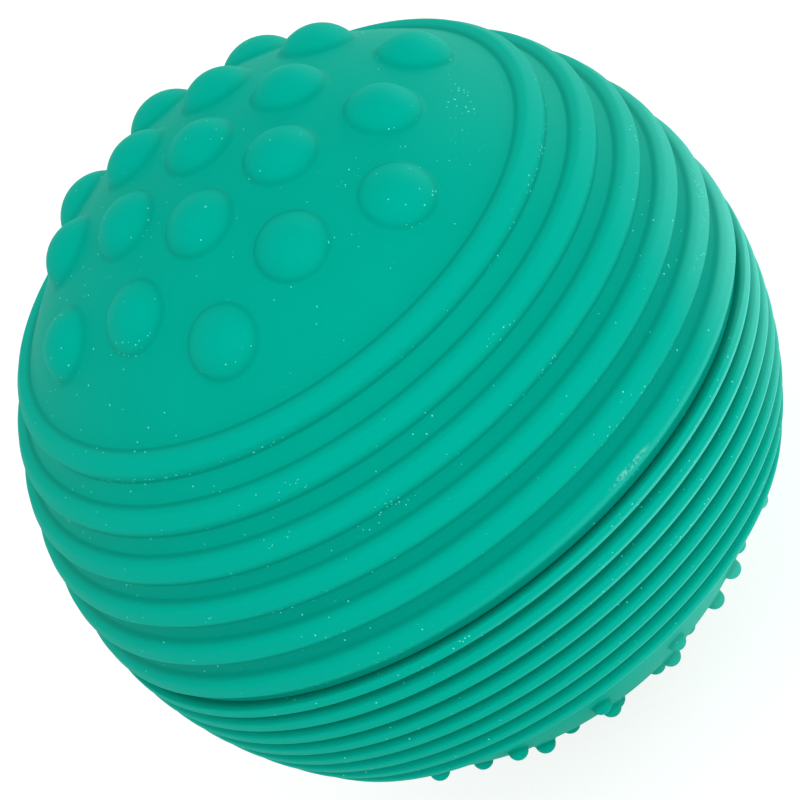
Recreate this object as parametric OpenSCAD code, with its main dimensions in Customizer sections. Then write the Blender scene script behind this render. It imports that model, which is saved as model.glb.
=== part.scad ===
// Sensory ball: a hollow rubber ball moulded as two half shells, with another texture in every zone.
// The ball stands on the plane z = 0, on its innermost ring of nubs, and its axis is the Z axis.
// From the top pole down: domes, broad ribs, the seam in its notch, fine ribs, a smooth band, nubs, a valve.

/* [Ball] */
// Diameter over the crests of the ribs
ball_d = 80; // [74:1:90]
// Height of the ribs and the nubs above the skin
rib_h = 1.2; // [0.8:0.1:1.6]
// Thickness of the rubber wall between the ribs
wall = 2.8; // [2:0.1:3.6]

/* [Seam] */
// Depth of the seam below the middle of the ball
seam_drop = 4.5; // [4:0.05:5.4]
// Thickness of the layer of rubber cement in the seam
cement_t = 0.3; // [0.2:0.05:0.5]
// How far the cement stays back from the bottom of the notch
cement_recess = 0.4; // [0.2:0.1:1]
// Depth of the notch at the foot of the lowest broad rib, from the crests
notch_depth = 1; // [0.8:0.05:1.1]
// Width of the slope from there down to the cement
notch_slope_w = 0.75; // [0.4:0.05:0.9]

/* [Broad ribs] */
// Number of broad ribs
broad_count = 6; // [4:1:6]
// Distance between the crests of the broad ribs, along the ball's axis
broad_pitch = 5.15; // [4.6:0.05:5.4]
// Width of a broad rib at its foot
broad_w = 3.7; // [3:0.1:4.2]
// Width of the flat along the crest of a broad rib
broad_flat_w = 1.1; // [0.6:0.1:1.4]
// Radius of the shoulders on either side of that flat
broad_edge_r = 0.7; // [0.4:0.05:0.8]
// Distance from the seam up to the crest of the lowest broad rib
broad_from_seam = 2.85; // [2.7:0.05:3.4]

/* [Fine ribs] */
// Number of fine ribs
fine_count = 8; // [5:1:8]
// Distance between the crests of the fine ribs, along the ball's axis
fine_pitch = 2.7; // [2.5:0.05:2.8]
// Width of a fine rib at its foot
fine_w = 2.4; // [1.8:0.1:2.5]
// Width of the flat along the crest of a fine rib
fine_flat_w = 0.8; // [0.4:0.05:0.9]
// Radius of the shoulders on either side of that flat
fine_edge_r = 0.35; // [0.2:0.05:0.4]
// Depth of the grooves between the fine ribs, from the crests
fine_depth = 2; // [1.4:0.1:2.3]
// Distance from the seam down to the crest of the topmost fine rib
fine_from_seam = 0.85; // [0.7:0.05:1.4]

/* [Domes] */
// Height of a dome above the skin
dome_h = 2.2; // [1.4:0.1:3]
// Diameter of a dome at its foot
dome_d = 8.4; // [7:0.1:9]
// Number of domes in each ring
dome_count = 6; // [4:1:6]

/* [Nubs] */
// Diameter of a nub
nub_d = 2.2; // [1.6:0.1:2.4]
// Number of nubs in each of the outer rings
nub_count = 16; // [8:1:18]
// Number of nubs in the innermost ring, which the ball stands on
foot_nub_count = 8; // [6:1:8]
// Turn of the nub half against the dome half, in degrees
nub_turn = 12; // [0:0.5:22]

/* [Valve] */
// Diameter of the bush where it passes through the wall
bush_d = 10; // [9.4:0.1:10.6]
// Length of the bush, from the skin to its inner end
bush_len = 9; // [7.5:0.5:12]
// Diameter of the flange that is bonded to the inside of the wall
flange_d = 20; // [16:0.5:24]
// Thickness of that flange
flange_t = 1.6; // [1:0.1:2.4]
// Diameter of the bore through the bush
bore_d = 5; // [4.4:0.1:5.6]
// Diameter of the head of the plug
head_d = 7.6; // [7:0.1:8]
// Thickness of the head of the plug
head_t = 1.4; // [1:0.1:2]
// Length of the plug's stem past the inner end of the bush
tip_len = 1; // [0.6:0.1:2]
// Slant of the stem's end against its axis, in degrees
tip_slant = 20; // [10:1:30]
// Gap all round between the plug and the bush
plug_gap = 0.05; // [0.03:0.01:0.1]
// Diameter of the blind hole in the plug that takes the inflating needle
needle_d = 2; // [1.6:0.1:2.4]
// Depth of that hole
needle_depth = 6; // [4:0.5:7]

/* [Hidden] */
$fn = 96;
rubber_colour = "#00a88f";
cement_colour = "#2f7c6d";
valve_colour = "#0b8f7c";
// How far a cut runs past the face that it opens
overrun = 1;
// Angles from the top pole to the rings of domes, and the turn of each ring as a share of its spacing
dome_rings = [16.5, 30, 37.5];
dome_turn_shares = [0, 0.5, 0];
// Angles from the bottom pole to the outer rings of nubs and to the innermost ring
nub_rings = [42.5, 32.5, 21.5];
foot_ring = 11;
// Radii of the crests, skin, notch, cement, fine grooves and cavity, and of the middle of the wall
ball_r = ball_d / 2;
skin_r = ball_r - rib_h;
notch_r = ball_r - notch_depth;
cement_r = skin_r - cement_recess;
groove_r = ball_r - fine_depth;
cavity_r = skin_r - wall;
mid_r = (skin_r + cavity_r) / 2;
// A dome is a cap of this sphere, whose foot lies on the round skin
dome_sag = skin_r - sqrt(pow(skin_r, 2) - pow(dome_d / 2, 2));
dome_r = (pow(dome_d / 2, 2) + pow(dome_h + dome_sag, 2)) / (2 * (dome_h + dome_sag));
// A nub is a ball whose tip is level with the crests
nub_r = nub_d / 2;
nub_seat_r = ball_r - nub_r;
// Height of the ball's middle over the plane that the innermost nubs stand on
middle_z = nub_seat_r * cos(foot_ring) + nub_r;
// Faces of the two half shells on either side of the cement, from the ball's middle
dome_face = -seam_drop + cement_t / 2;
nub_face = -seam_drop - cement_t / 2;
// Heights of the crests of the lowest broad rib and the lowest fine rib, from the ball's middle
low_broad_z = broad_from_seam - seam_drop;
low_fine_z = -seam_drop - fine_from_seam - (fine_count - 1) * fine_pitch;
// Distances from the ball's middle out along the valve
bush_end = skin_r - bush_len;
head_seat = skin_r - head_t;
plug_end = bush_end - tip_len;

// The point of a circle round the ball's middle at the height y
function foot_at(radius, y) = [sqrt(pow(radius, 2) - pow(y, 2)), y];

// Where a straight flank from a foot touches the round shoulder on its side, which is -1 or 1
function touch_at(foot, shoulder, edge_r, side) =
    let (gap = foot - shoulder)
    let (lean = atan2(gap.y, gap.x) - side * acos(edge_r / norm(gap)))
    shoulder + edge_r * [cos(lean), sin(lean)];

// Section of a rib along X: a flat crest between two round shoulders, with straight flanks that touch them
module rib_section(low_foot, high_foot, flat_w, edge_r) {
    low = [ball_r - edge_r, -flat_w / 2];
    high = [ball_r - edge_r, flat_w / 2];
    for (shoulder = [low, high])
        translate(shoulder)
            circle(edge_r);
    polygon([
        [mid_r, low_foot.y - overrun],
        low_foot,
        touch_at(low_foot, low, edge_r, -1),
        low,
        [ball_r, low.y],
        [ball_r, high.y],
        high,
        touch_at(high_foot, high, edge_r, 1),
        high_foot,
        [mid_r, high_foot.y + overrun]
    ]);
}

// The broad ribs, each pointing straight out from the ball's middle
module broad_ribs() {
    foot = foot_at(skin_r, broad_w / 2);
    for (i = [1 : broad_count - 1])
        rotate(asin((low_broad_z + i * broad_pitch) / ball_r))
            rib_section([foot.x, -foot.y], foot, broad_flat_w, broad_edge_r);
    // The lower flank of the lowest one ends where the slope of the notch begins
    turn = asin(low_broad_z / ball_r);
    edge = foot_at(notch_r, dome_face + notch_slope_w);
    low_foot = [edge.x * cos(turn) + edge.y * sin(turn), edge.y * cos(turn) - edge.x * sin(turn)];
    rotate(turn)
        rib_section(low_foot, foot, broad_flat_w, broad_edge_r);
}

// The slope from the foot of the lowest broad rib down to the skin at the seam
module notch_slope() {
    edge = foot_at(notch_r, dome_face + notch_slope_w);
    polygon([
        [mid_r, nub_face],
        foot_at(skin_r, nub_face),
        edge,
        [edge.x, low_broad_z],
        [mid_r, low_broad_z]
    ]);
}

// The fine ribs, which stand in deeper grooves and start at the face of their half shell
module fine_ribs() {
    foot = foot_at(groove_r, fine_w / 2);
    intersection() {
        for (i = [0 : fine_count - 1])
            rotate(asin((low_fine_z + i * fine_pitch) / ball_r))
                rib_section([foot.x, -foot.y], foot, fine_flat_w, fine_edge_r);
        translate([0, -ball_r])
            square([ball_r + overrun, ball_r + nub_face]);
    }
}

// What the grooves take away from the skin between the seam and the lowest fine rib
module groove_band() {
    difference() {
        translate([0, low_fine_z])
            square([ball_r, nub_face - low_fine_z]);
        circle(groove_r);
    }
}

// Half section of the whole skin, with X out from the axis and Y along it
module skin_section() {
    difference() {
        union() {
            difference() {
                circle(skin_r);
                groove_band();
            }
            notch_slope();
            broad_ribs();
            fine_ribs();
        }
        circle(cavity_r);
    }
}

// The skin between two heights, turned round the axis
module skin_zone(low, high) {
    rotate_extrude()
        intersection() {
            skin_section();
            translate([0, low])
                square([ball_r + overrun, high - low]);
        }
}

// Places its children on the ball, at an angle from the top pole and an angle round the axis
module on_ball(from_top, round_axis, radius) {
    rotate([0, from_top, round_axis])
        translate([0, 0, radius])
            children();
}

// A dome, without the part of its sphere that would reach into the cavity
module dome() {
    difference() {
        translate([0, 0, skin_r + dome_h - dome_r])
            sphere(dome_r);
        sphere(mid_r);
    }
}

// Places its children in the ball's middle with Z out through the bottom pole
module valve_axis() {
    translate([0, 0, middle_z])
        rotate([180, 0, 0])
            children();
}

// Keeps what lies inside the skin, so that the valve's outer face follows the ball
module within_skin() {
    intersection() {
        children();
        sphere(skin_r);
    }
}

module dome_half() {
    color(rubber_colour)
        translate([0, 0, middle_z]) {
            skin_zone(dome_face, ball_r);
            dome();
            for (ring = [0 : len(dome_rings) - 1])
                for (i = [0 : dome_count - 1])
                    on_ball(dome_rings[ring], (i + dome_turn_shares[ring]) * 360 / dome_count, 0)
                        dome();
        }
}

module nub_half() {
    color(rubber_colour)
        difference() {
            translate([0, 0, middle_z]) {
                skin_zone(-ball_r, nub_face);
                for (from_bottom = nub_rings)
                    for (i = [0 : nub_count - 1])
                        on_ball(180 - from_bottom, nub_turn + i * 360 / nub_count, nub_seat_r)
                            sphere(nub_r);
                for (i = [0 : foot_nub_count - 1])
                    on_ball(180 - foot_ring, nub_turn + i * 360 / foot_nub_count, nub_seat_r)
                        sphere(nub_r);
            }
            valve_axis()
                translate([0, 0, cavity_r - overrun])
                    cylinder(d = bush_d, h = wall + 2 * overrun);
        }
}

module seam_cement() {
    color(cement_colour)
        translate([0, 0, middle_z])
            rotate_extrude()
                difference() {
                    translate([0, nub_face])
                        square([foot_at(cement_r, seam_drop).x, cement_t]);
                    circle(cavity_r);
                }
}

module valve_bush() {
    color(valve_colour)
        valve_axis()
            difference() {
                union() {
                    within_skin()
                        translate([0, 0, bush_end])
                            cylinder(d = bush_d, h = bush_len + overrun);
                    intersection() {
                        difference() {
                            sphere(cavity_r);
                            sphere(cavity_r - flange_t);
                        }
                        cylinder(d = flange_d, h = ball_r);
                    }
                }
                translate([0, 0, bush_end - overrun])
                    cylinder(d = bore_d, h = bush_len + 2 * overrun);
                translate([0, 0, head_seat])
                    cylinder(d = head_d + 2 * plug_gap, h = head_t + overrun);
            }
}

module valve_plug() {
    stem_d = bore_d - 2 * plug_gap;
    color(valve_colour)
        valve_axis()
            difference() {
                union() {
                    within_skin()
                        translate([0, 0, head_seat])
                            cylinder(d = head_d, h = head_t + overrun);
                    translate([0, 0, bush_end])
                        cylinder(d = stem_d, h = head_seat - bush_end);
                    translate([0, 0, plug_end])
                        cylinder(d1 = stem_d - 2 * tip_len * tan(tip_slant), d2 = stem_d, h = tip_len);
                }
                translate([0, 0, skin_r - needle_depth])
                    cylinder(d = needle_d, h = needle_depth + overrun);
            }
}

dome_half();
nub_half();
seam_cement();
valve_bush();
valve_plug();
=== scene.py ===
# %% [markdown]
# # A rubber sensory ball
# The ball is 80 mm across and hollow. Its skin has another texture in every zone, so that a small hand feels
# domes, broad ribs, fine ribs and nubs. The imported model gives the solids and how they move. This script loads
# that model first, and then gives the ball its looks around it.

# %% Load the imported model
from math import acos, asin, atan2, cos, pi, radians, sin, sqrt, tan

import bpy
from mathutils import Matrix, Vector


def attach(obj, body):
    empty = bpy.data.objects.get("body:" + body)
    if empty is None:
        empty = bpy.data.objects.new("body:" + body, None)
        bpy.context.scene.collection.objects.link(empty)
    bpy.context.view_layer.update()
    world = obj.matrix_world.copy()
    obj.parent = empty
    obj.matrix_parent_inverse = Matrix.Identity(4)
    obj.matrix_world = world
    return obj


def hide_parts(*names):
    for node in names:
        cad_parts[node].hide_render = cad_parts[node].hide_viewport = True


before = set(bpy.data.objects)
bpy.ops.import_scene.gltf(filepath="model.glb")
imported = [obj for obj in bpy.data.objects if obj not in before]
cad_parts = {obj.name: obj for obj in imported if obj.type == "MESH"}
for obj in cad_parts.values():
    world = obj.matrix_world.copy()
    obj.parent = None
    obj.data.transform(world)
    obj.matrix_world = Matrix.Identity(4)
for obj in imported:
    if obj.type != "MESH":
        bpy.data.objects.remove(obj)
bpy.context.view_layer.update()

print("nodes:", ", ".join(sorted(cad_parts)))

# %% [markdown]
# ## The ball's sizes
# These are the sizes of the solids, in metres. The ball's middle lies above the plane z = 0, on which the ball
# stands with its innermost nubs. Heights of ribs are given from that middle.

# %% Sizes of the ball
MM = 0.001
CREST_R = 40 * MM
SKIN_R = CREST_R - 1.2 * MM
NOTCH_R = CREST_R - 1 * MM
GROOVE_R = CREST_R - 2 * MM
CAVITY_R = SKIN_R - 2.8 * MM
VALVE_HOLE_R = 5 * MM
MIDDLE = Vector((0, 0, 0.0392853))
SEAM_Z = -4.5 * MM
CEMENT_T = 0.3 * MM
CEMENT_R = SKIN_R - 0.4 * MM
print("the ball's middle is", round(MIDDLE.z / MM, 2), "mm above the floor")


# %% [markdown]
# ## Drawing a section
# A ribbed ball is a body of revolution, so each half shell starts as its half section: a line of edges that is
# spun round the axis. The line could be drawn by eye, or the ribs could be cut out of a smooth ball. Here the
# line is drawn by extruding one vertex from point to point, because every point follows from the mould's sizes.

# %% Helpers that draw a line and spin it
def let_go():
    """Leave edit mode and select nothing."""
    if bpy.context.mode != "OBJECT":
        bpy.ops.object.mode_set(mode="OBJECT")
    bpy.ops.object.select_all(action="DESELECT")


def draw_line(name, points):
    """A line of edges in the XZ plane, made by extruding one vertex from point to point."""
    let_go()
    places = [MIDDLE + Vector((x, 0, z)) for x, z in points]
    bpy.ops.mesh.primitive_plane_add(size=MM, location=places[0])
    line = bpy.context.object
    line.name = line.data.name = name
    bpy.ops.object.mode_set(mode="EDIT")
    bpy.ops.mesh.merge(type="CENTER")
    for here, there in zip(places, places[1:]):
        bpy.ops.mesh.extrude_region_move(TRANSFORM_OT_translate={"value": there - here})
    return line


def spin_line(line, steps):
    """Spin the line once round the ball's axis, and close it where it meets itself."""
    bpy.ops.mesh.select_all(action="SELECT")
    bpy.ops.mesh.spin(steps=steps, angle=2 * pi, center=MIDDLE, axis=(0, 0, 1))
    bpy.ops.mesh.select_all(action="SELECT")
    bpy.ops.mesh.remove_doubles(threshold=0.002 * MM)
    bpy.ops.mesh.normals_make_consistent(inside=False)
    let_go()
    line.select_set(True)
    bpy.ops.object.transform_apply(location=True, rotation=True, scale=True)
    return line


def report(piece):
    """Print how many faces a piece has."""
    print(piece.name, "has", len(piece.data.polygons), "faces")


print("helpers: let_go, draw_line, spin_line, report")

# %% [markdown]
# ## Soft corners
# Rubber leaves the mould with no sharp inner corner. A bevel could round the finished mesh, but its width would
# be the same everywhere. So the corners are rounded in the section: each gets an arc that touches both of its
# sides, with the radius that this corner has in the mould.

# %% Helpers for arcs in a section
def rounded(corners, step=radians(16)):
    """The points along a line of corners, each given as (point, radius), with arcs in the corners' places."""
    points = [corners[0][0]]
    for (before, _), (corner, radius), (after, _) in zip(corners, corners[1:], corners[2:]):
        to_before, to_after = (before - corner).normalized(), (after - corner).normalized()
        half = acos(max(-1, min(1, to_before @ to_after))) / 2
        if radius == 0 or half > radians(89):
            points.append(corner)
            continue
        centre = corner + (to_before + to_after).normalized() * (radius / sin(half))
        start = corner + to_before * (radius / tan(half)) - centre
        end = corner + to_after * (radius / tan(half)) - centre
        first, turn = atan2(start.y, start.x), start.angle_signed(end)
        steps = max(2, round(abs(turn) / step))
        for i in range(steps + 1):
            angle = first - turn * i / steps
            points.append(centre + Vector((cos(angle), sin(angle))) * radius)
    points.append(corners[-1][0])
    return points


def on_circle(radius, angle):
    """The point of a circle round the ball's middle, at an angle above the ball's largest circle."""
    return Vector((radius * cos(angle), radius * sin(angle)))


def at_height(radius, z):
    """The point of a circle round the ball's middle, at a height above the middle."""
    return on_circle(radius, asin(z / radius))


def arc(radius, first, last, step=radians(1.5)):
    """Points on a circle round the ball's middle, from one angle to another."""
    count = max(1, round(abs(last - first) / step))
    return [on_circle(radius, first + (last - first) * i / count) for i in range(count + 1)]


print("helpers: rounded, on_circle, at_height, arc")


# %% [markdown]
# ## Ribs
# A rib has a flat crest between two sloping flanks. Four corners describe it: two feet on the skin and two
# shoulders at the crest. It is drawn as if it lay on the ball's largest circle, and then turned to its height.

# %% The corners of one rib
def rib(z, root_r, foot_w, top_w, shoulder_r, foot_r):
    """The four corners of one flat-topped rib, from its upper foot over its two shoulders to its lower foot."""
    foot_x = sqrt(root_r**2 - (foot_w / 2) ** 2)
    corners = [
        ((foot_x, foot_w / 2), foot_r),
        ((CREST_R, top_w / 2), shoulder_r),
        ((CREST_R, -top_w / 2), shoulder_r),
        ((foot_x, -foot_w / 2), foot_r),
    ]
    turn = Matrix.Rotation(asin(z / CREST_R), 2)
    return [(turn @ Vector(point), radius) for point, radius in corners]


def slope_of(point):
    """A point's angle above the ball's largest circle."""
    return atan2(point.y, point.x)


print("helpers: rib, slope_of")

# %% [markdown]
# ## The half with the broad ribs
# Six broad ribs lie evenly spaced below the open cap. The lowest one has no lower foot: its flank ends in the
# notch that hides the seam, 1 mm below the crests, and from there a short slope leads to the shell's cut edge.
# The line goes round the outside first, and then back along the hollow inside.

# %% Section of the half with the broad ribs
FIRST_BROAD_Z, BROAD_PITCH, BROAD_COUNT = 24.1 * MM, 5.15 * MM, 6
BROAD_FOOT_W, BROAD_TOP_W, BROAD_SHOULDER_R, BROAD_FOOT_R = 3.7 * MM, 1.75 * MM, 0.7 * MM, 0.5 * MM
LIP_W, SLOPE_W, SLOPE_R, EDGE_R, EDGE_RISE = 0.82 * MM, 0.75 * MM, 0.3 * MM, 0.1 * MM, 0.08 * MM
CEMENT_OVERLAP = 0.1 * MM
CAP_GAP = radians(1.2)  # leaves room for the arc at the first rib's foot
CAVITY_STEP = radians(7)  # the hollow inside is never seen, so its steps are coarse

BROAD_CRESTS = [FIRST_BROAD_Z - BROAD_PITCH * i for i in range(BROAD_COUNT)]
upper_face, lower_face = SEAM_Z + CEMENT_T / 2, SEAM_Z - CEMENT_T / 2
broad = []
for z in BROAD_CRESTS:
    broad += rib(z, SKIN_R, BROAD_FOOT_W, BROAD_TOP_W, BROAD_SHOULDER_R, BROAD_FOOT_R)
lip = Matrix.Rotation(asin(BROAD_CRESTS[-1] / CREST_R), 2) @ Vector((CREST_R, -LIP_W))
notch_foot = at_height(NOTCH_R, upper_face + SLOPE_W)
seam_edge = on_circle(SKIN_R + EDGE_RISE, asin(upper_face / SKIN_R))
seam_bottom = on_circle(CEMENT_R - CEMENT_OVERLAP, asin(upper_face / CEMENT_R))
notch = [(lip, BROAD_SHOULDER_R), (notch_foot, SLOPE_R), (seam_edge, EDGE_R), (seam_bottom, 0)]
cap = arc(SKIN_R, pi / 2, slope_of(broad[0][0]) + CAP_GAP)
outer = rounded([(cap[-1], 0)] + broad[:-2] + notch)
inner = arc(CAVITY_R, asin(upper_face / CAVITY_R), pi / 2, CAVITY_STEP)
dome_section = cap[:-1] + outer + inner
print("the domed half's section has", len(dome_section), "points")

# %% [markdown]
# ## The half with the fine ribs
# Eight fine ribs follow below the seam, with grooves that go 0.8 mm deeper than the skin. The uppermost one
# starts at the seam itself, with a crisper shoulder. Below the last rib, the section follows the smooth skin to
# the hole for the valve.

# %% Section of the half with the fine ribs
FIRST_FINE_Z, FINE_PITCH, FINE_COUNT = -5.35 * MM, 2.7 * MM, 8
FINE_FOOT_W, FINE_TOP_W, FINE_SHOULDER_R, FINE_FOOT_R = 2.4 * MM, 1.32 * MM, 0.35 * MM, 0.1 * MM
FIRST_SHOULDER_R, BAND_CORNER_R = 0.2 * MM, 0.15 * MM
BAND_GAP = radians(0.8)  # leaves room for the arc at the last rib's foot

FINE_CRESTS = [FIRST_FINE_Z - FINE_PITCH * i for i in range(FINE_COUNT)]
fine = []
for z in FINE_CRESTS:
    fine += rib(z, GROOVE_R, FINE_FOOT_W, FINE_TOP_W, FINE_SHOULDER_R, FINE_FOOT_R)
fine[0] = (on_circle(CEMENT_R - CEMENT_OVERLAP, asin(lower_face / CEMENT_R)), 0)
fine[1] = (fine[1][0], FIRST_SHOULDER_R)
last_foot = slope_of(fine[-1][0])
fine[-1] = (on_circle(SKIN_R, last_foot), BAND_CORNER_R)
band = arc(SKIN_R, last_foot - BAND_GAP, -acos(VALVE_HOLE_R / SKIN_R))
outer = rounded(fine + [(band[0], 0)])
inner = arc(CAVITY_R, -acos(VALVE_HOLE_R / CAVITY_R), asin(lower_face / CAVITY_R), CAVITY_STEP)
nub_section = outer + band[1:] + inner
print("the nubbed half's section has", len(nub_section), "points")

# %% [markdown]
# ## Spinning the shells
# The mould halves are turned on a lathe, and the mesh is made in the same way, by a spin in edit mode. A Screw
# modifier would give the same shape. 288 steps keep the ribs round in the outline, and each shell under 200,000
# triangles.

# %% Spin both shells
SPIN_STEPS = 288
shells = {}
for name, section in (("domed_half_shell", dome_section), ("nubbed_half_shell", nub_section)):
    shells[name] = spin_line(draw_line(name, section + section[:1]), SPIN_STEPS)
    report(shells[name])


# %% [markdown]
# ## The shape of a bump
# A dome is a low cap of a ball, and a nub is almost half a ball. Both run into the skin through a small hollow
# curve. They could be pushed out of the skin, but its faces are too coarse there. So one of each is spun from
# its own section: the cap, the hollow curve, and a root that goes a little way into the wall.

# %% Section of one bump
HOLLOW_STEPS = 5
ROOT_SPREAD, ROOT_RIM_DEPTH, ROOT_DEPTH = 1.05, 0.25 * MM, 1.2 * MM


def bump_section(radius, height, fillet, rows):
    """Half section of a bump on the top pole: its cap, the hollow at its foot, and a root inside the wall."""
    centre_z = SKIN_R + height - radius
    to_cap, to_skin = radius + fillet, SKIN_R + fillet
    z = (to_skin**2 - to_cap**2 + centre_z**2) / (2 * centre_z)
    hollow = Vector((sqrt(to_skin**2 - z**2), z))
    out = hollow - Vector((0, centre_z))
    cap_end = atan2(out.x, out.y)
    points = []
    for i in range(rows + 1):
        angle = cap_end * i / rows
        points.append(Vector((radius * sin(angle), centre_z + radius * cos(angle))))
    start, end = -out, -hollow
    first, turn = slope_of(start), start.angle_signed(end)
    for i in range(1, HOLLOW_STEPS + 1):
        angle = first - turn * i / HOLLOW_STEPS
        points.append(hollow + Vector((cos(angle), sin(angle))) * fillet)
    foot = points[-1]
    spread, root_r = ROOT_SPREAD * atan2(foot.x, foot.y), SKIN_R - ROOT_RIM_DEPTH
    points.append(Vector((root_r * sin(spread), root_r * cos(spread))))
    points.append(Vector((0, SKIN_R - ROOT_DEPTH)))
    return points


print("helper: bump_section")


# %% [markdown]
# ## Copying a bump over the ball
# In the mould, each dome and nub is one more hollow, turned to its place about the ball's middle. An array
# modifier can't turn copies two ways, so the one bump is copied in a loop, and each copy gets its own mesh. A
# Boolean union then makes the copies one with the skin, as they are in the rubber.

# %% Helpers that copy a bump and unite the copies with a shell
def spread_bumps(name, section, places, steps):
    """Copies of one spun bump, each turned to its place: (angle from the top pole, angle round the axis)."""
    master = spin_line(draw_line(name, section + section[:1]), steps)
    to_middle = Matrix.Translation(MIDDLE)
    copies = []
    for from_top, around in places:
        copy = master.copy()
        copy.data = master.data.copy()
        bpy.context.collection.objects.link(copy)
        turn = Matrix.Rotation(around, 4, "Z") @ Matrix.Rotation(from_top, 4, "Y")
        copy.matrix_world = to_middle @ turn @ to_middle.inverted()
        copies.append(copy)
    bpy.data.objects.remove(master)
    let_go()
    for copy in copies:
        copy.select_set(True)
    bpy.context.view_layer.objects.active = copies[0]
    bpy.ops.object.join()
    bpy.ops.object.transform_apply(location=True, rotation=True, scale=True)
    report(bpy.context.object)
    return bpy.context.object


def unite(shell, bumps):
    """Make the bumps one with the shell, and shade all but the shell's cut edges smoothly."""
    let_go()
    shell.select_set(True)
    bpy.context.view_layer.objects.active = shell
    bpy.ops.object.modifier_add(type="BOOLEAN")
    union = shell.modifiers[-1]
    union.operation, union.solver, union.object = "UNION", "EXACT", bumps
    bpy.ops.object.modifier_apply(modifier=union.name)
    bpy.data.objects.remove(bumps)
    bpy.ops.object.shade_smooth_by_angle(angle=radians(40))
    report(shell)
    return shell


print("helpers: spread_bumps, unite")

# %% [markdown]
# ## The domed cap
# One dome sits on the pole, and three rings of six lie round it, the middle ring turned by half a step. The
# dome's radius follows from its height and its width on the skin.

# %% Domes on the top cap
DOME_H, DOME_W, DOME_FILLET = 2.2 * MM, 8.4 * MM, 0.9 * MM
DOME_RINGS = ((16.5, 0), (30, 0.5), (37.5, 0))  # degrees from the pole, share of a step turned

dome_places = [(0, 0)]
for from_top, turn_share in DOME_RINGS:
    dome_places += [(radians(from_top), radians(60 * (i + turn_share))) for i in range(6)]
sag = SKIN_R - sqrt(SKIN_R**2 - (DOME_W / 2) ** 2)
dome_r = ((DOME_W / 2) ** 2 + (DOME_H + sag) ** 2) / (2 * (DOME_H + sag))
domes = spread_bumps("domes", bump_section(dome_r, DOME_H, DOME_FILLET, rows=12), dome_places, steps=56)
domed_shell = unite(shells["domed_half_shell"], domes)
print(len(dome_places), "domes, with a radius of", round(dome_r / MM, 2), "mm")

# %% [markdown]
# ## The nubbed cap
# Three rings of 16 nubs and one of 8 lie round the valve. They stand as high as the ribs, so the ball rests on
# the innermost ring. The half is turned a little against the domes, as the bonding left it.

# %% Nubs on the bottom cap
NUB_R, NUB_H, NUB_FILLET = 1.1 * MM, 1.2 * MM, 0.3 * MM
NUB_TURN = radians(12)
NUB_RINGS = ((42.5, 16), (32.5, 16), (21.5, 16), (11, 8))  # degrees from the pole, number of nubs

nub_places = []
for from_pole, count in NUB_RINGS:
    nub_places += [(pi - radians(from_pole), NUB_TURN + 2 * pi * i / count) for i in range(count)]
nubs = spread_bumps("nubs", bump_section(NUB_R, NUB_H, NUB_FILLET, rows=8), nub_places, steps=28)
nubbed_shell = unite(shells["nubbed_half_shell"], nubs)
print(len(nub_places), "nubs")


# %% [markdown]
# ## Colours and nodes
# Colours are written as a painter's hex codes, and one function turns them to the linear values that the
# shader needs. One more function adds a node with its settings and links, so that a material reads as a list
# of short steps. The settings that many nodes share are written once.

# %% Helpers for colours and nodes
def linear(code):
    """An sRGB hex colour as linear red, green, blue and alpha."""
    parts = [int(code[i : i + 2], 16) / 255 for i in (1, 3, 5)]
    return [p / 12.92 if p <= 0.04045 else ((p + 0.055) / 1.055) ** 2.4 for p in parts] + [1]


def add(tree, kind, settings=None, **links):
    """Add one node. Settings are its properties, and links are its sockets: a value or another node's output."""
    node = tree.nodes.new("ShaderNode" + kind)
    for key, value in (settings or {}).items():
        setattr(node, key, value)
    for key, value in links.items():
        socket = node.inputs[int(key[1:]) if key[0] == "_" else key.replace("_", " ")]
        if isinstance(value, bpy.types.NodeSocket):
            tree.links.new(value, socket)
        else:
            socket.default_value = value
    return node


def new_material(name):
    """A new material and its empty node tree."""
    material = bpy.data.materials.new(name)
    material.use_nodes = True
    material.node_tree.nodes.clear()
    return material, material.node_tree


COLOURS = {"data_type": "RGBA"}
SMOOTH = {"interpolation_type": "SMOOTHSTEP"}
SUBTRACT, MULTIPLY, MULTIPLY_ADD = ({"operation": name} for name in ("SUBTRACT", "MULTIPLY", "MULTIPLY_ADD"))
LESS_THAN, MAXIMUM = {"operation": "LESS_THAN"}, {"operation": "MAXIMUM"}
RUBBER_IOR = 1.52
print("green as linear values:", [round(v, 3) for v in linear("#00b099")])

# %% [markdown]
# ## Moulded natural rubber
# Both half shells are pressed from coloured natural rubber. To the eye it is matt and slightly uneven in tone,
# because the mould's powder lies on it. Painted shade makes it a little darker between the ribs, most of all low
# on the ball. The tones could be painted on the mesh, but they follow from how high a point lies and how far it
# is from the ball's middle, so they are worked out from the place of each point.

# %% Rubber: how far out a point is, and its skin
rubber, tree = new_material("moulded_natural_rubber")
place = add(tree, "TexCoord").outputs["Object"]
spot = add(tree, "SeparateXYZ", Vector=place)
side_x, height_z = spot.outputs["X"], spot.outputs["Z"]
from_middle = add(tree, "VectorMath", SUBTRACT, _0=place, _1=MIDDLE).outputs[0]
reach = add(tree, "VectorMath", {"operation": "LENGTH"}, _0=from_middle).outputs["Value"]

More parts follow.
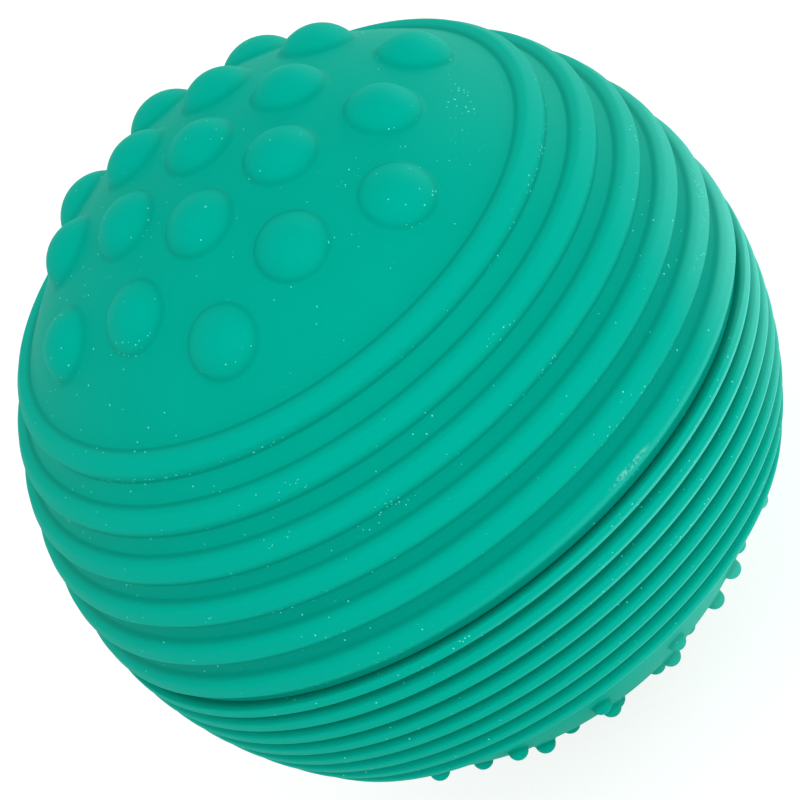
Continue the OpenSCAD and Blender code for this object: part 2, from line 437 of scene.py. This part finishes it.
RIBBED_REACH = 24.7 * MM  # the ribs lie this far above and below the middle
CLOUDS = 90.0  # per metre, so a cloud is 11 mm wide
cloud = add(tree, "TexNoise", Vector=place, Scale=CLOUDS, Detail=4.0, Roughness=0.6).outputs["Fac"]
open_skin = add(tree, "Mix", COLOURS, Factor=cloud, A=linear("#00b099"), B=linear("#00b59e")).outputs[2]
ribbed = add(tree, "Math", {"operation": "COMPARE"}, _0=height_z, _1=MIDDLE.z, _2=RIBBED_REACH).outputs[0]
lower_down = add(
    tree, "MapRange", Value=height_z, From_Min=MIDDLE.z + 21 * MM, From_Max=MIDDLE.z + 3 * MM
).outputs[0]
# painted shade: the skin among the ribs is made darker, most of all low on the ball
painted_shade_among_ribs = add(tree, "Math", MULTIPLY, _0=ribbed, _1=lower_down).outputs[0]
skin = add(tree, "Mix", COLOURS, Factor=painted_shade_among_ribs, A=open_skin, B=linear("#00a591")).outputs[2]
print("clouds on the skin are", round(1 / CLOUDS / MM), "mm wide")

# %% [markdown]
# ## Feet and crests
# Where a rib or a dome runs into the skin, a soft darker line is painted in, as painted shade in the corner. It
# is fainter at the domes. The crests are paler, since hands touch them. Both could be chosen face by face, but
# the distance from the ball's middle gives them a soft edge too.

# %% Rubber: painted shade at the feet, and paler crests
off_skin = add(tree, "MapRange", SMOOTH, Value=reach, From_Min=SKIN_R, From_Max=SKIN_R + 0.12 * MM).outputs[0]
near_skin = add(
    tree, "MapRange", SMOOTH, Value=reach, From_Min=SKIN_R + 0.7 * MM, From_Max=SKIN_R + 0.15 * MM
).outputs[0]
below_domes = add(
    tree, "MapRange", Value=height_z, From_Min=MIDDLE.z + 28 * MM, From_Max=MIDDLE.z + 26 * MM, To_Min=0.35
).outputs[0]
foot_shade_zone = add(tree, "Math", MULTIPLY, _0=off_skin, _1=near_skin).outputs[0]
foot = add(tree, "Math", MULTIPLY, _0=foot_shade_zone, _1=below_domes).outputs[0]
# painted shade: the feet of ribs and domes are darker, as if shade fell in the corner
with_painted_foot_shade = add(tree, "Mix", COLOURS, Factor=foot, A=skin, B=linear("#00a08b")).outputs[2]
crest = add(
    tree, "MapRange", SMOOTH, Value=reach, From_Min=SKIN_R + 0.3 * MM, From_Max=CREST_R - 0.3 * MM
).outputs[0]
with_crests = add(tree, "Mix", COLOURS, Factor=crest, A=with_painted_foot_shade, B=linear("#00b8a1")).outputs[2]
print("rubber so far:", len(tree.nodes), "nodes")

# %% [markdown]
# ## Painted sheen on one side, and painted shade in the grooves
# One side of this ball gets a painted sheen, a whitish film of light, most on the low ribs and on the smooth
# band under them. It could be a second shader over the first. A mix towards a whitish green looks the same on
# rubber that is matt anyway. The grooves between the fine ribs get no sheen, and painted shade makes them much
# darker than the rubber.

# %% Rubber: painted sheen on one side, and painted shade in the grooves
SHEEN_START, SHEEN_FULL, SHEEN_SHARE = 25 * MM, 41 * MM, 0.7
BAND_TOP = MIDDLE.z - 24.9 * MM
far_side = add(
    tree, "MapRange", SMOOTH, Value=side_x, From_Min=SHEEN_START, From_Max=SHEEN_FULL, To_Max=SHEEN_SHARE
).outputs[0]
low_ribs = add(
    tree, "MapRange", Value=height_z, From_Min=MIDDLE.z + 16 * MM, From_Max=MIDDLE.z - 4 * MM, To_Min=0.1
).outputs[0]
sheen_place = add(tree, "Math", MULTIPLY, _0=far_side, _1=low_ribs).outputs[0]
rib_sheen = add(tree, "Math", MULTIPLY, _0=sheen_place, _1=crest).outputs[0]
on_band = add(tree, "Math", LESS_THAN, _0=height_z, _1=BAND_TOP).outputs[0]
band_side = add(tree, "MapRange", Value=side_x, From_Min=-5 * MM, From_Max=25 * MM, To_Max=0.6).outputs[0]
band_sheen = add(tree, "Math", MULTIPLY, _0=on_band, _1=band_side).outputs[0]
painted_sheen = add(tree, "Math", MAXIMUM, _0=rib_sheen, _1=band_sheen).outputs[0]
# painted sheen: a whitish light on one side of the low ribs and of the band
with_painted_sheen = add(tree, "Mix", COLOURS, Factor=painted_sheen, A=with_crests, B=linear("#66dfcc")).outputs[2]
# painted shade: the grooves between the fine ribs are made much darker
painted_groove_shade = add(tree, "MapRange", SMOOTH, Value=reach, From_Min=SKIN_R, From_Max=GROOVE_R).outputs[0]
with_groove_shade = add(tree, "Mix", COLOURS, Factor=painted_groove_shade, A=with_painted_sheen, B=linear("#006e5f")).outputs[2]
print("rubber so far:", len(tree.nodes), "nodes")

# %% [markdown]
# ## Painted highlight on the lower edges
# The lower edges of the fine ribs get a painted highlight, a thin whitish line, most on the same side as the
# painted sheen. Those faces could get a material of their own. But an edge is easily found, because the surface
# there turns down from the direction that points away from the ball's middle, and so the line follows each rib.

# %% Rubber: painted highlight on the lower edges
outward = add(tree, "VectorMath", {"operation": "NORMALIZE"}, _0=from_middle).outputs[0]
facing = add(tree, "NewGeometry").outputs["Normal"]
turned = add(tree, "VectorMath", SUBTRACT, _0=outward, _1=facing).outputs[0]
turned_down = add(tree, "SeparateXYZ", Vector=turned).outputs["Z"]
low_edge = add(tree, "MapRange", SMOOTH, Value=turned_down, From_Min=0.005, From_Max=0.05).outputs[0]
at_top = add(
    tree, "MapRange", Value=reach, From_Min=CREST_R - 0.35 * MM, From_Max=CREST_R - 0.2 * MM
).outputs[0]
edge_highlight_mask = add(tree, "Math", MULTIPLY, _0=low_edge, _1=at_top).outputs[0]
highlight_and_dust_side = add(tree, "MapRange", Value=side_x, From_Min=-15 * MM, From_Max=30 * MM).outputs[0]
highlight_ribs = add(
    tree, "MapRange", Value=height_z, From_Min=MIDDLE.z - 1 * MM, From_Max=MIDDLE.z - 7 * MM
).outputs[0]
highlight_place = add(tree, "Math", MULTIPLY, _0=highlight_and_dust_side, _1=highlight_ribs).outputs[0]
painted_edge_highlight = add(tree, "Math", MULTIPLY, _0=edge_highlight_mask, _1=highlight_place).outputs[0]
# painted highlight: a whitish line on the lower edges of the fine ribs, most on one side
with_edge_highlight = add(tree, "Mix", COLOURS, Factor=painted_edge_highlight, A=with_groove_shade, B=linear("#58e2d0")).outputs[2]
print("rubber so far:", len(tree.nodes), "nodes")

# %% [markdown]
# ## Dust
# Specks of dust, 0.1 to 0.2 mm wide, stick to the rubber: single ones all over, and finer ones in streaks that
# follow the ribs and gather on surfaces that face down. They could be scattered as small meshes, but that would
# be thousands of pieces. Here a speck is the middle of a cell of a Voronoi pattern, and a noise sets how large
# the middles are, so most cells stay empty.

# %% Rubber: specks of dust
SPECK_CELL, FINE_CELL = 1.3 * MM, 0.6 * MM
DUST_PATCHES, STREAKS, STREAK_FLATTENING = 60.0, 70.0, 5  # per metre: patches of 17 mm, streaks of 14 mm
MORE_UNDERNEATH, MORE_ON_SIDE, MORE_ON_EDGES = 0.12, 0.07, 0.14

dust_cells = add(tree, "TexVoronoi", Vector=place, Scale=1 / SPECK_CELL).outputs["Distance"]
dust_patches = add(tree, "TexNoise", Vector=place, Scale=DUST_PATCHES, Detail=2.0).outputs["Fac"]
dust_size = add(
    tree, "MapRange", Value=dust_patches, From_Min=0.4, From_Max=0.65, To_Min=0.02, To_Max=0.085
).outputs[0]
speck = add(tree, "Math", LESS_THAN, _0=dust_cells, _1=dust_size).outputs[0]

along_ribs = add(tree, "Mapping", Vector=place, Scale=(1, 1, STREAK_FLATTENING)).outputs[0]
streaks = add(tree, "TexNoise", Vector=along_ribs, Scale=STREAKS, Detail=3.0).outputs["Fac"]
settled = add(tree, "Math", MULTIPLY_ADD, _0=turned_down, _1=MORE_UNDERNEATH, _2=streaks).outputs[0]
dusty_side = add(tree, "Math", MULTIPLY, _0=highlight_and_dust_side, _1=low_ribs).outputs[0]
to_the_side = add(tree, "Math", MULTIPLY_ADD, _0=dusty_side, _1=MORE_ON_SIDE, _2=settled).outputs[0]
gathered = add(tree, "Math", MULTIPLY_ADD, _0=painted_edge_highlight, _1=MORE_ON_EDGES, _2=to_the_side).outputs[0]
fine_size = add(tree, "MapRange", Value=gathered, From_Min=0.62, From_Max=0.7, To_Max=0.18).outputs[0]
fine_cells = add(tree, "TexVoronoi", Vector=place, Scale=1 / FINE_CELL).outputs["Distance"]
fine_speck = add(tree, "Math", LESS_THAN, _0=fine_cells, _1=fine_size).outputs[0]

dust = add(tree, "Math", MAXIMUM, _0=speck, _1=fine_speck).outputs[0]
with_dust = add(tree, "Mix", COLOURS, Factor=dust, A=with_edge_highlight, B=linear("#66f0dc")).outputs[2]
print("rubber so far:", len(tree.nodes), "nodes")

# %% [markdown]
# ## A scuff
# The lowest broad rib has been dragged over something rough, which left one pale mark, 7 mm long, made of short
# fibres of rubber. They are too small to be strands of their own, so the mark is a long, flat oval on the rib
# that a noise breaks up.

# %% Rubber: scuff on the lowest broad rib
SCUFF = MIDDLE + Vector((12.2, -38.0, -1.85)) * MM
SCUFF_HALF_SIZE, SCUFF_TURN, FIBRE = (3.6 * MM, 3 * MM, 0.5 * MM), (0, 0, radians(18.2)), 0.45 * MM
in_scuff = add(
    tree, "Mapping", {"vector_type": "TEXTURE"},
    Vector=place, Location=SCUFF, Rotation=SCUFF_TURN, Scale=SCUFF_HALF_SIZE,
).outputs[0]
from_scuff = add(tree, "VectorMath", {"operation": "LENGTH"}, _0=in_scuff).outputs["Value"]
scuff_strength = add(tree, "MapRange", Value=from_scuff, From_Min=1.0, From_Max=0.3).outputs[0]
fibres = add(tree, "TexNoise", Vector=place, Scale=1 / FIBRE, Detail=2.0).outputs["Fac"]
fibre = add(tree, "MapRange", Value=fibres, From_Min=0.45, From_Max=0.6).outputs[0]
scuff = add(tree, "Math", MULTIPLY, _0=scuff_strength, _1=fibre).outputs[0]
with_scuff = add(tree, "Mix", COLOURS, Factor=scuff, A=with_dust, B=linear("#78d6c6")).outputs[2]
print("scuff at", [round(v / MM, 1) for v in SCUFF], "mm")

# %% [markdown]
# ## The rubber's surface
# The mould was blasted, which leaves a grain of about 0.1 mm. That is too fine for the picture, so it is drawn
# at 0.25 mm. The rubber hardly shines, and what it reflects takes its own green, because the powder on it
# scatters the light.

# %% Rubber: grain and shader
GRAIN = 0.25 * MM
grain = add(tree, "TexNoise", Vector=place, Scale=1 / GRAIN, Detail=2.0).outputs["Fac"]
matt = add(tree, "MapRange", Value=grain, To_Min=0.55, To_Max=0.7).outputs[0]
bump = add(tree, "Bump", Strength=0.3, Distance=0.02 * MM, Height=grain).outputs[0]
shader = add(tree, "BsdfPrincipled", Base_Color=with_scuff, Roughness=matt, Normal=bump, IOR=RUBBER_IOR)
shader.inputs["Specular IOR Level"].default_value = 0.05
shader.inputs["Specular Tint"].default_value = linear("#00ffe0")
add(tree, "OutputMaterial", Surface=shader.outputs[0])
print(rubber.name, "has", len(tree.nodes), "nodes")

# %% [markdown]
# ## Dried rubber cement
# The seam is filled with rubber cement that was pressed out and wiped off while wet. It dries dull and slightly
# lumpy, in lumps of just under a millimetre, and takes the colour of the rubber that is dissolved in it.

# %% Rubber cement in the seam
LUMP = 0.8 * MM
cement, tree = new_material("dried_rubber_cement")
place = add(tree, "TexCoord").outputs["Object"]
lumps = add(tree, "TexNoise", Vector=place, Scale=1 / LUMP, Detail=3.0).outputs["Fac"]
colour = add(tree, "Mix", COLOURS, Factor=lumps, A=linear("#00927e"), B=linear("#009a86")).outputs[2]
bump = add(tree, "Bump", Strength=0.5, Distance=0.05 * MM, Height=lumps).outputs[0]
shader = add(tree, "BsdfPrincipled", Base_Color=colour, Roughness=0.9, Normal=bump, IOR=RUBBER_IOR)
shader.inputs["Specular IOR Level"].default_value = 0.1
add(tree, "OutputMaterial", Surface=shader.outputs[0])
print(cement.name, "has", len(tree.nodes), "nodes")

# %% [markdown]
# ## Soft valve rubber
# The bush and the plug are moulded in a softer, denser rubber from a polished mould. They are a little darker
# than the ball and slightly smoother, with a faint grain. They have no powder on them, because they are wiped
# before they are fitted.

# %% Soft rubber of the valve
VALVE_GRAIN = 0.4 * MM
valve, tree = new_material("soft_valve_rubber")
place = add(tree, "TexCoord").outputs["Object"]
grain = add(tree, "TexNoise", Vector=place, Scale=1 / VALVE_GRAIN, Detail=3.0).outputs["Fac"]
colour = add(tree, "Mix", COLOURS, Factor=grain, A=linear("#078b79"), B=linear("#0b9683")).outputs[2]
bump = add(tree, "Bump", Strength=0.25, Distance=0.02 * MM, Height=grain).outputs[0]
shader = add(tree, "BsdfPrincipled", Base_Color=colour, Roughness=0.5, Normal=bump, IOR=RUBBER_IOR)
shader.inputs["Specular IOR Level"].default_value = 0.2
add(tree, "OutputMaterial", Surface=shader.outputs[0])
print(valve.name, "has", len(tree.nodes), "nodes")


# %% [markdown]
# ## Dressing the pieces
# The two new shells take the places of their solids and ride on the ball's body. The cement, the bush and the
# plug have no more shape than their solids, so those are shown as they are.

# %% Dress the pieces
def dress(piece, material):
    """Give a piece one material."""
    piece.data.materials.clear()
    piece.data.materials.append(material)
    print(piece.name, "is made of", material.name)


for shell, node in ((domed_shell, "dome_half"), (nubbed_shell, "nub_half")):
    dress(shell, rubber)
    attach(shell, "ball")
    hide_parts(node)
dress(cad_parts["seam_cement"], cement)
dress(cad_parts["valve_bush"], valve)
dress(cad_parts["valve_plug"], valve)

# %% [markdown]
# ## The photographer's place
# The ball was photographed from far away with a long lens, 30 degrees above its ribs, with its axis leaning
# 38 degrees to the left. The ball could be laid on its side for that. It is the camera that is rolled by that
# angle here, so the ball can stand upright on its nubs.

# %% Camera
AZIMUTH, ELEVATION, LEAN = radians(-93.3), radians(30), radians(38.4)
DISTANCE, VIEW_W, SENSOR = 4.0, 83.5 * MM, 36.0


def way_to(azimuth, elevation):
    """The direction with an azimuth and an elevation, as a vector of length 1."""
    return Vector((cos(elevation) * cos(azimuth), cos(elevation) * sin(azimuth), sin(elevation)))


back = way_to(AZIMUTH, ELEVATION)
axis_up = (Vector((0, 0, 1)) - back * back.z).normalized()
axis_right = axis_up.cross(back)
right = cos(LEAN) * axis_right - sin(LEAN) * axis_up
up = sin(LEAN) * axis_right + cos(LEAN) * axis_up
bpy.ops.object.camera_add()
camera = bpy.context.object
camera.name = "camera"
camera.data.sensor_width = SENSOR
camera.data.lens = SENSOR * DISTANCE / VIEW_W
camera.data.clip_start, camera.data.clip_end = 0.1, 20
turned_camera = Matrix((right, up, back)).transposed().to_4x4()
camera.matrix_world = Matrix.Translation(MIDDLE + back * DISTANCE) @ turned_camera
bpy.context.scene.camera = camera
print("lens:", round(camera.data.lens), "mm")


# %% [markdown]
# ## Lamps
# The photo's light is soft and comes from everywhere, with a little more from the right and from behind. One
# large, weak lamp gives that. The rest comes from the surroundings.

# %% Soft lamp
def softbox(name, direction, distance, size, power):
    """A square lamp that faces the ball."""
    let_go()
    direction = direction.normalized()
    bpy.ops.object.light_add(type="AREA", location=MIDDLE + direction * distance)
    lamp = bpy.context.object
    lamp.name = name
    lamp.data.size, lamp.data.energy = size, power
    lamp.rotation_mode = "QUATERNION"
    lamp.rotation_quaternion = direction.to_track_quat("Z", "Y")
    return lamp


from_behind_right = 0.8 * axis_right + 0.45 * axis_up - 0.5 * back
side_lamp = softbox("side_softbox", from_behind_right, distance=0.9, size=0.36, power=1.5)
print(side_lamp.name, "gives", side_lamp.data.energy, "W")


# %% [markdown]
# ## White surroundings
# The studio is white all round. It lights the ball evenly, and more from a window high behind the camera. The
# camera and mirrors see plain white there, so the light can be set without changing the background.

# %% World
SEEN_WHITE, DAYLIGHT, WINDOW_LIGHT, WINDOW_NARROWNESS = 1.0, 0.57, 0.96, 4
WINDOW_ELEVATION = radians(55)


def seen_rays(tree):
    """1 for rays of the camera, of reflections and of clear things, and 0 for rays that only light."""
    path = add(tree, "LightPath")
    seen = add(tree, "Math", MAXIMUM, _0=path.outputs["Is Camera Ray"], _1=path.outputs["Is Glossy Ray"])
    return add(tree, "Math", MAXIMUM, _0=seen.outputs[0], _1=path.outputs["Is Transmission Ray"]).outputs[0]


world = bpy.data.worlds.new("white_studio")
bpy.context.scene.world = world
world.use_nodes = True
tree = world.node_tree
tree.nodes.clear()
window = way_to(AZIMUTH, WINDOW_ELEVATION)
way = add(tree, "TexCoord").outputs["Generated"]
toward_window = add(tree, "VectorMath", {"operation": "DOT_PRODUCT"}, _0=way, _1=window).outputs["Value"]
in_front = add(tree, "Math", MAXIMUM, _0=toward_window, _1=0).outputs[0]
brighter = add(tree, "Math", {"operation": "POWER"}, _0=in_front, _1=WINDOW_NARROWNESS).outputs[0]
daylight = add(tree, "Math", MULTIPLY_ADD, _0=brighter, _1=WINDOW_LIGHT, _2=DAYLIGHT).outputs[0]
strength = add(tree, "MapRange", Value=seen_rays(tree), To_Min=daylight, To_Max=SEEN_WHITE).outputs[0]
sky = add(tree, "Background", Color=linear("#ffffff"), Strength=strength)
add(tree, "OutputWorld", Surface=sky.outputs[0])
print(world.name, "has", len(tree.nodes), "nodes")

# %% [markdown]
# ## White paper
# The ball rests on white paper, which throws light back up. The paper also glows for rays that only light, more
# towards the right, so it lights the ball from below and from the right like a lamp. To the camera the paper is
# almost white by its own glow, and the rest of its tone is matt, so the ball's shadow still shows on it. From
# below it is clear, so the valve can be looked at.

# %% Floor
FLOOR_SIZE, FLOOR_GAP, SIDE_GLOW, SEEN_GLOW = 6, 0.2 * MM, 0.36, 0.85
let_go()
bpy.ops.mesh.primitive_plane_add(size=FLOOR_SIZE, location=(0, 0, -FLOOR_GAP))
floor = bpy.context.object
floor.name = "floor"
bpy.ops.object.transform_apply(location=True, rotation=True, scale=True)
paper, tree = new_material("white_paper")
white = linear("#ffffff")

lit_paper = add(tree, "BsdfDiffuse", Color=linear("#f8f8f8")).outputs[0]
place = add(tree, "TexCoord").outputs["Object"]
rightward = add(tree, "VectorMath", {"operation": "DOT_PRODUCT"}, _0=place, _1=axis_right).outputs["Value"]
glow_share = add(
    tree, "MapRange", Value=rightward, From_Min=-60 * MM, From_Max=60 * MM, To_Max=SIDE_GLOW
).outputs[0]
# the paper's own glow, which lights the ball like a lamp, more towards the right
glow_lighting_ball = add(tree, "Emission", Color=white, Strength=glow_share).outputs[0]
matt_paper = add(tree, "AddShader", _0=lit_paper, _1=glow_lighting_ball).outputs[0]

shade = add(tree, "BsdfDiffuse", Color=linear("#8c8c8c")).outputs[0]
glow = add(tree, "Emission", Color=white, Strength=SEEN_GLOW).outputs[0]
seen_paper = add(tree, "AddShader", _0=shade, _1=glow).outputs[0]

top_side = add(tree, "MixShader", _0=seen_rays(tree), _1=matt_paper, _2=seen_paper).outputs[0]
clear = add(tree, "BsdfTransparent").outputs[0]
under = add(tree, "NewGeometry").outputs["Backfacing"]
both = add(tree, "MixShader", _0=under, _1=top_side, _2=clear).outputs[0]
add(tree, "OutputMaterial", Surface=both)
dress(floor, paper)

# %% [markdown]
# ## Finish
# Colours are shown as they are written, with no film look.

# %% View transform
bpy.context.scene.view_settings.view_transform = "Standard"
